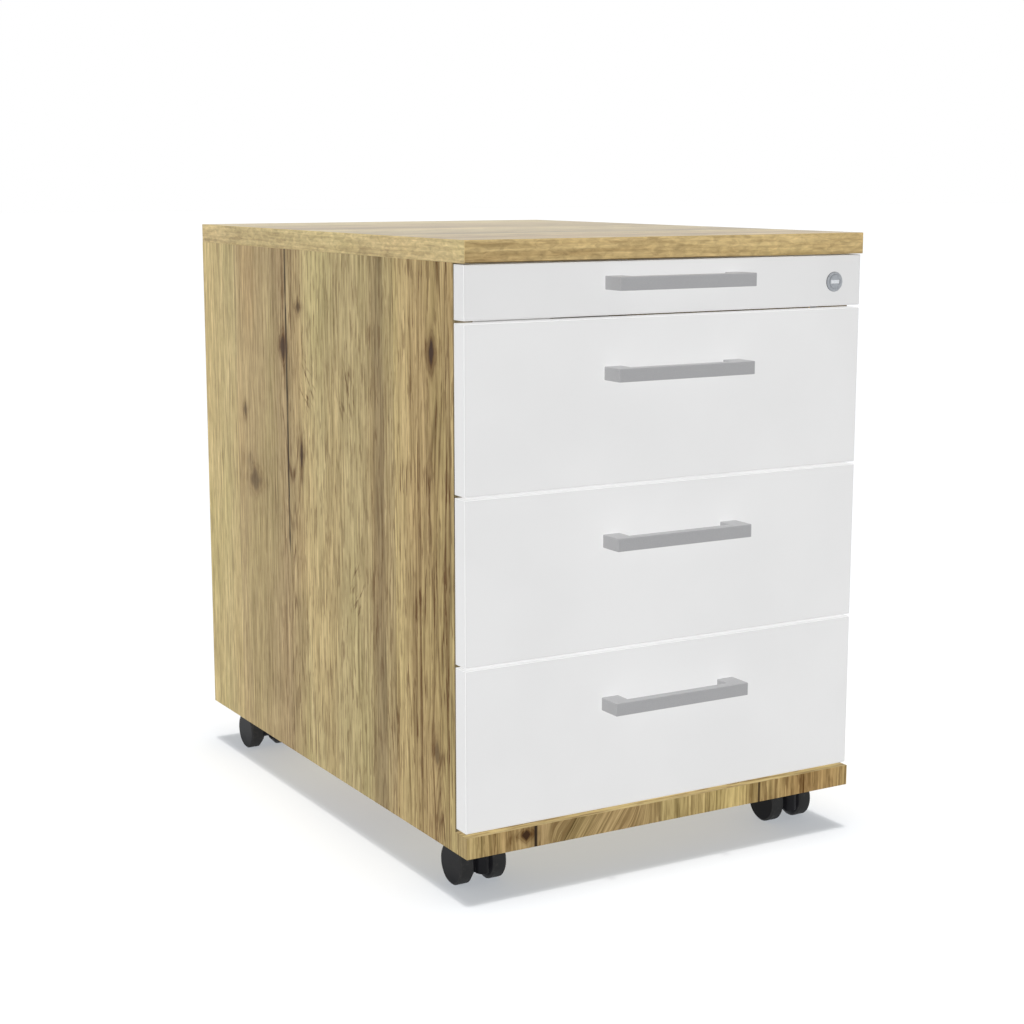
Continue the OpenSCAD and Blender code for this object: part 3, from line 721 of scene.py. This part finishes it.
def wheel_plastic(name, centre, radius):
    """Castor wheel: a satin disc with fine turning rings, and a duller tread with some dust."""
    g = Graph(name)
    _, y, z = g.split(g.vector("SUBTRACT", g.position, centre))
    from_axis = g.vector("LENGTH", g.join(y, z))
    tread = g.step(from_axis, radius - 2.2 * MM, radius - 1.2 * MM)
    rings = g.noise(g.join(g.times(from_axis, 2400), 0.0, 0.0), 2, 0.5)
    dust = g.noise(g.scaled(240, 240, 240), 4, 0.65)
    scuff = g.step(dust, 0.52, 0.75)
    colour = g.mix(tread, srgb(17, 17, 19), srgb(36, 36, 36))
    colour = g.mix(g.times(g.times(scuff, tread), 0.2), colour, srgb(92, 90, 86))
    g.set(base_color=colour, specular_ior_level=g.blend(tread, 0.09, 0.2))
    g.set(roughness=g.add(g.blend(tread, 0.34, 0.6), g.times(dust, 0.1)))
    g.set(normal=g.bump(g.add(g.times(rings, 0.5), g.times(dust, 0.4)), 0.04 * MM, 0.5))
    return g.material


def beech(name):
    """Bare turned beech with its grain up Z."""
    g = Graph(name)
    grain = g.noise(g.scaled(700, 700, 60), 4, 0.6)
    g.set(base_color=g.mix(grain, srgb(214, 178, 128), srgb(180, 138, 88)))
    g.set(roughness=g.add(g.times(grain, 0.2), 0.5))
    g.set(normal=g.bump(grain, 0.05 * MM, 0.5))
    return g.material


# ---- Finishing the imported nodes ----

SHARP_OVER = math.radians(35)
ROUNDED_OVER = math.radians(40)
FLAT_UNDER = math.radians(0.5)


def shading_tree():
    """Geometry nodes that shade every face smooth and keep edges over SHARP_OVER sharp."""
    tree = bpy.data.node_groups.new("smooth_by_angle", "GeometryNodeTree")
    tree.interface.new_socket("Geometry", in_out="INPUT", socket_type="NodeSocketGeometry")
    tree.interface.new_socket("Geometry", in_out="OUTPUT", socket_type="NodeSocketGeometry")
    start, end = tree.nodes.new("NodeGroupInput"), tree.nodes.new("NodeGroupOutput")
    clear = tree.nodes.new("GeometryNodeRemoveAttribute")
    clear.inputs["Name"].default_value = "custom_normal"
    faces = tree.nodes.new("GeometryNodeSetShadeSmooth")
    faces.domain = "FACE"
    edges = tree.nodes.new("GeometryNodeSetShadeSmooth")
    edges.domain = "EDGE"
    edges.inputs["Shade Smooth"].default_value = False
    angle = tree.nodes.new("GeometryNodeInputMeshEdgeAngle")
    sharp = tree.nodes.new("FunctionNodeCompare")
    sharp.operation = "GREATER_THAN"
    sharp.inputs[1].default_value = SHARP_OVER
    link = tree.links.new
    link(start.outputs[0], clear.inputs["Geometry"])
    link(clear.outputs[0], faces.inputs["Geometry"])
    link(faces.outputs[0], edges.inputs["Geometry"])
    link(angle.outputs[0], sharp.inputs[0])
    link(sharp.outputs[0], edges.inputs["Selection"])
    link(edges.outputs[0], end.inputs[0])
    return tree


SHADING = shading_tree()


def soften(obj, width, segments):
    """Rounds a part's edges by width metres, without changing its CAD vertices."""
    weld = obj.modifiers.new("weld", "WELD")
    weld.merge_threshold = 0.001 * MM
    planar = obj.modifiers.new("planar", "DECIMATE")
    planar.decimate_type = "DISSOLVE"
    planar.angle_limit = FLAT_UNDER
    shading = obj.modifiers.new("shading", "NODES")
    shading.node_group = SHADING
    bevel = obj.modifiers.new("bevel", "BEVEL")
    bevel.width = width
    bevel.segments = segments
    bevel.limit_method = "ANGLE"
    bevel.angle_limit = ROUNDED_OVER
    bevel.use_clamp_overlap = False
    bevel.loop_slide = False
    normals = obj.modifiers.new("normals", "WEIGHTED_NORMAL")
    normals.keep_sharp = True


def finish_node(name, material, edge=0.0, segments=2):
    """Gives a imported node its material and, where edge is given, rounded edges."""
    obj = nodes[name]
    obj.data.materials.clear()
    obj.data.materials.append(material)
    if edge:
        soften(obj, edge, segments)


OAK = oak_board("oak_laminate")
OAK_DECK = oak_deck("oak_deck")
STEEL_WHITE = painted_steel("white_steel", (222, 222, 220))
NYLON = moulded("nylon", (232, 232, 224), 0.42, 900, 0.03 * MM, subsurface=0.15)
TRAY = moulded("tray_plastic", (78, 80, 83), 0.5, 900, 0.06 * MM)
ZINC = zinc("zinc_plate")
CAM_ZINC = zinc("lock_zinc", (168, 170, 174), 0.42, (500, 500, 500))
SCREW_ZINC = zinc("zinc_screw", (184, 186, 190), 0.32, (700, 700, 700))
AXLE = zinc("axle_steel", (170, 171, 174), 0.3, (40, 900, 900))
CASTOR_BLACK = moulded("castor_plastic", (22, 22, 24), 0.42, 1200, 0.05 * MM, gloss=0.12)
MOUNT_BLACK = painted_steel("black_steel", (38, 38, 40), 0.45)
HANDLE = satin_grey("handle_grey")
BEECH = beech("beech_dowel")

# How far the edges are rounded
STEEL_EDGE = 0.3 * MM
MOULDED_EDGE = 0.4 * MM
BOARD_EDGE = 0.4 * MM
CAST_EDGE = 0.4 * MM
CASTOR_EDGE = 0.5 * MM
TRAY_EDGE = 0.6 * MM
FRONT_EDGE = 0.7 * MM
LOCK_EDGE = 0.2 * MM
SHOWN_SEGMENTS = 3

finish_node("top_panel", OAK_DECK, BOARD_EDGE)
for board in ("bottom_panel", "left_side_panel", "right_side_panel", "back_panel"):
    finish_node(board, OAK)
finish_node("case_dowels", BEECH)
finish_node("case_screws", SCREW_ZINC)
finish_node("case_runners", STEEL_WHITE, STEEL_EDGE)
finish_node("tray_guides", NYLON, MOULDED_EDGE)
finish_node("castor_mounts", MOUNT_BLACK, STEEL_EDGE)
finish_node("drawer_1_tray", TRAY, TRAY_EDGE)
finish_node("drawer_1_dividers", TRAY, MOULDED_EDGE)
for n in DRAWERS:
    front = f"drawer_{n}_front"
    finish_node(front, white_laminate(front, *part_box(front)), FRONT_EDGE, SHOWN_SEGMENTS)
    finish_node(f"drawer_{n}_handle", HANDLE, FRONT_EDGE, SHOWN_SEGMENTS)
    finish_node(f"drawer_{n}_screws", SCREW_ZINC)
for n in LARGE_DRAWERS:
    for board in (f"drawer_{n}_base", f"drawer_{n}_back"):
        finish_node(board, white_laminate(board, *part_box(board)), BOARD_EDGE)
    for side in (f"drawer_{n}_left_side", f"drawer_{n}_right_side"):
        finish_node(side, STEEL_WHITE, STEEL_EDGE)
    for rollers in (f"drawer_{n}_case_rollers", f"drawer_{n}_rear_rollers"):
        finish_node(rollers, NYLON)
for corner in CORNERS:
    wheels = f"castor_{corner}_wheels"
    low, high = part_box(wheels)
    centre, radius = (low + high) / 2, (high.z - low.z) / 2
    finish_node(wheels, wheel_plastic(f"castor_{corner}_tread", centre, radius))
    finish_node(f"castor_{corner}_housing", CASTOR_BLACK, CASTOR_EDGE)
    finish_node(f"castor_{corner}_axle", AXLE)

LOCK_LOW, LOCK_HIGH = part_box("lock_cylinder")
LOCK_AXIS = (LOCK_LOW + LOCK_HIGH) / 2
for piece, name in (("lock_housing", "lock_metal"), ("lock_cylinder", "lock_face")):
    finish_node(piece, turned_metal(name, LOCK_AXIS, LOCK_GREY, 0.40), LOCK_EDGE)
finish_node("lock_cam", CAM_ZINC, STEEL_EDGE)
finish_node("locking_bar", ZINC, CAST_EDGE)
finish_node("locking_bar_head", ZINC, CAST_EDGE)


# ---- Key slot's shutter ----

SHUTTER_HALF_W, SHUTTER_HALF_H = 5.1 * MM, 1.7 * MM
SHUTTER_T = 1.0 * MM
SHUTTER_SET_BACK = 0.4 * MM
SHUTTER_CROWN = 0.25 * MM
SHUTTER_COLUMNS = 10


def new_piece(name, mesh_builder, material, body):
    """Adds an object made by mesh_builder in a bmesh, riding on a body."""
    bm = bmesh.new()
    mesh_builder(bm)
    bmesh.ops.recalc_face_normals(bm, faces=bm.faces)
    mesh = bpy.data.meshes.new(name)
    bm.to_mesh(mesh)
    bm.free()
    mesh.materials.append(material)
    obj = bpy.data.objects.new(name, mesh)
    bpy.context.scene.collection.objects.link(obj)
    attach(obj, body)


def shutter(bm):
    """A sprung plate just inside the key slot, with a slightly crowned face."""
    face_y = LOCK_LOW.y + SHUTTER_SET_BACK
    columns = range(SHUTTER_COLUMNS)
    rows = []
    for depth, crown in ((0.0, SHUTTER_CROWN), (SHUTTER_T, 0.0)):
        for z in (-SHUTTER_HALF_H, 0.0, SHUTTER_HALF_H):
            row = []
            for i in range(SHUTTER_COLUMNS + 1):
                t = 2 * i / SHUTTER_COLUMNS - 1
                y = face_y + depth - crown * (1 - t * t)
                place = (LOCK_AXIS.x + t * SHUTTER_HALF_W, y, LOCK_AXIS.z + z)
                row.append(bm.verts.new(place))
            rows.append(row)
    # The front and back faces, then the long edges, then the ends
    for a, b in ((0, 1), (1, 2), (3, 4), (4, 5), (0, 3), (2, 5)):
        for i in columns:
            bm.faces.new((rows[a][i], rows[a][i + 1], rows[b][i + 1], rows[b][i]))
    for i in (0, SHUTTER_COLUMNS):
        for a, b in ((0, 1), (1, 2)):
            bm.faces.new((rows[a][i], rows[b][i], rows[b + 3][i], rows[a + 3][i]))


SHUTTER_METAL = zinc("shutter_metal", (226, 228, 230), 0.3, (900, 900, 900))
new_piece("key_slot_shutter", shutter, SHUTTER_METAL, "lock_barrel")


# ---- Floor, light and camera ----

FLOOR_HALF = 30.0
CAMERA_AT = (-0.9768, -1.6906, 0.6349)
LOOK_DOWN, LOOK_RIGHT = math.radians(10), math.radians(30)
FIELD_OF_VIEW = math.radians(30)
SENSOR_W = 36


def floor_material():
    """Matt pale grey, very slightly mottled."""
    g = Graph("floor")
    mottle = g.noise(g.scaled(3, 3, 3), 2, 0.5)
    g.set(base_color=g.mix(mottle, (0.84, 0.84, 0.84, 1), (0.86, 0.86, 0.86, 1)))
    g.set(roughness=0.9, specular_ior_level=0.0)
    return g.material


def floor():
    """A plain floor that bounces no light, so the cabinet is lit evenly from top to bottom."""
    mesh = bpy.data.meshes.new("floor")
    corners = [(x * FLOOR_HALF, y * FLOOR_HALF, 0) for x, y in ((-1, -1), (1, -1), (1, 1), (-1, 1))]
    mesh.from_pydata(corners, [], [(0, 1, 2, 3)])
    mesh.materials.append(floor_material())
    obj = bpy.data.objects.new("floor", mesh)
    obj.visible_diffuse = False
    bpy.context.scene.collection.objects.link(obj)
    obj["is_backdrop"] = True
    return obj


def light_group(name, objects, excluded=False):
    """A light-linking collection of just these objects, or of all but these."""
    group = bpy.data.collections.new(name)
    for obj in objects:
        group.objects.link(obj)
    if excluded:
        for entry in group.collection_objects:
            entry.light_linking.link_state = "EXCLUDE"
    return group


def distant_light(name, towards, level, angle, shadow=False, group=None, blockers=None):
    """A distant lamp shining towards a direction, angle degrees wide. level is the brightness of
    a white surface that faces it. It lights only group, shadowed only by blockers."""
    lamp = bpy.data.lights.new(name, "SUN")
    lamp.energy = level * math.pi
    lamp.angle = math.radians(angle)
    lamp.use_shadow = shadow
    obj = bpy.data.objects.new(name, lamp)
    obj.rotation_euler = Vector(towards).to_track_quat("-Z", "Y").to_euler()
    obj.visible_glossy = False
    obj.light_linking.receiver_collection = group
    obj.light_linking.blocker_collection = blockers
    bpy.context.scene.collection.objects.link(obj)
    return lamp


def surroundings(brightness):
    """White all round, but only this bright for the light that falls on matt surfaces."""
    world = bpy.data.worlds.new("studio")
    world.use_nodes = True
    tree = world.node_tree
    background = tree.nodes["Background"]
    background.inputs["Color"].default_value = (1, 1, 1, 1)
    path = tree.nodes.new("ShaderNodeLightPath")
    strength = tree.nodes.new("ShaderNodeMapRange")
    strength.inputs["To Min"].default_value = 1.0
    strength.inputs["To Max"].default_value = brightness
    tree.links.new(path.outputs["Is Diffuse Ray"], strength.inputs["Value"])
    tree.links.new(strength.outputs[0], background.inputs["Strength"])
    bpy.context.scene.world = world


def camera():
    """The camera, at the product view's place and angle."""
    lens = bpy.data.cameras.new("camera")
    lens.sensor_width = SENSOR_W
    lens.lens = SENSOR_W / 2 / math.tan(FIELD_OF_VIEW / 2)
    lens.clip_start, lens.clip_end = 0.05, 100
    obj = bpy.data.objects.new("camera", lens)
    obj.location = CAMERA_AT
    obj.rotation_euler = (math.radians(90) - LOOK_DOWN, 0, -LOOK_RIGHT)
    bpy.context.scene.collection.objects.link(obj)
    bpy.context.scene.camera = obj


def shows(name):
    """Whether a node is seen from outside while the drawers are shut."""
    outer = ("castor", "lock_housing", "lock_cylinder")
    return name.startswith(outer) or name.endswith(("_panel", "_front", "_handle"))


ground = floor()
handles = [nodes[f"drawer_{n}_handle"] for n in DRAWERS]
pencil_front = nodes["drawer_1_front"]
hidden = [obj for name, obj in nodes.items() if not shows(name)]
on_floor = light_group("floor_only", [ground])
no_handles = light_group("all_but_handles", handles, excluded=True)
inside = light_group("inside", hidden)
shell = light_group("shell", [ground] + hidden, excluded=True)
open_top = light_group("shell_but_pencil_front", [ground, pencil_front] + hidden, excluded=True)
under_deck = light_group("pencil_front_only", [pencil_front])

LEFT, RIGHT, FRONT, BACK = (-1, 0, 0), (1, 0, 0), (0, -1, 0), (0, 1, 0)
UP, DOWN = (0, 0, 1), (0, 0, -1)
# The floor's lamps: a sharp and a soft one that throw the shadow, and a cool fill
distant_light("key", DOWN, 0.25, 0.7, True, on_floor, no_handles)
distant_light("soft_key", DOWN, 0.33, 22, True, on_floor, no_handles)
distant_light("floor_fill", DOWN, 0.485, 3, group=on_floor).color = (0.89, 0.94, 1.0)
# A tent of even light round the cabinet. The deck shades the pencil front from above
distant_light("tent_top", DOWN, 0.90, 30, group=open_top)
distant_light("tent_top_front", DOWN, 0.90, 3, True, under_deck)
for name, towards, level in (
    ("tent_left", RIGHT, 0.70),
    ("tent_front", BACK, 0.78),
    ("tent_right", LEFT, 0.62),
    ("tent_back", FRONT, 0.66),
    ("tent_below", UP, 0.16),
):
    distant_light(name, towards, level, 30, group=shell)
# Light that reaches what opening a drawer uncovers
for name, towards, level in (
    ("inside_top", DOWN, 0.90),
    ("inside_left", (1, 0, -0.6), 0.50),
    ("inside_front", (0, 1, -0.6), 0.60),
    ("inside_right", (-1, 0, -0.6), 0.50),
):
    distant_light(name, towards, level, 25, True, inside)
distant_light("inside_fill", BACK, 0.40, 25, group=inside)
surroundings(0.2)
camera()
bpy.context.scene.view_settings.view_transform = "Standard"

low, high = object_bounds()
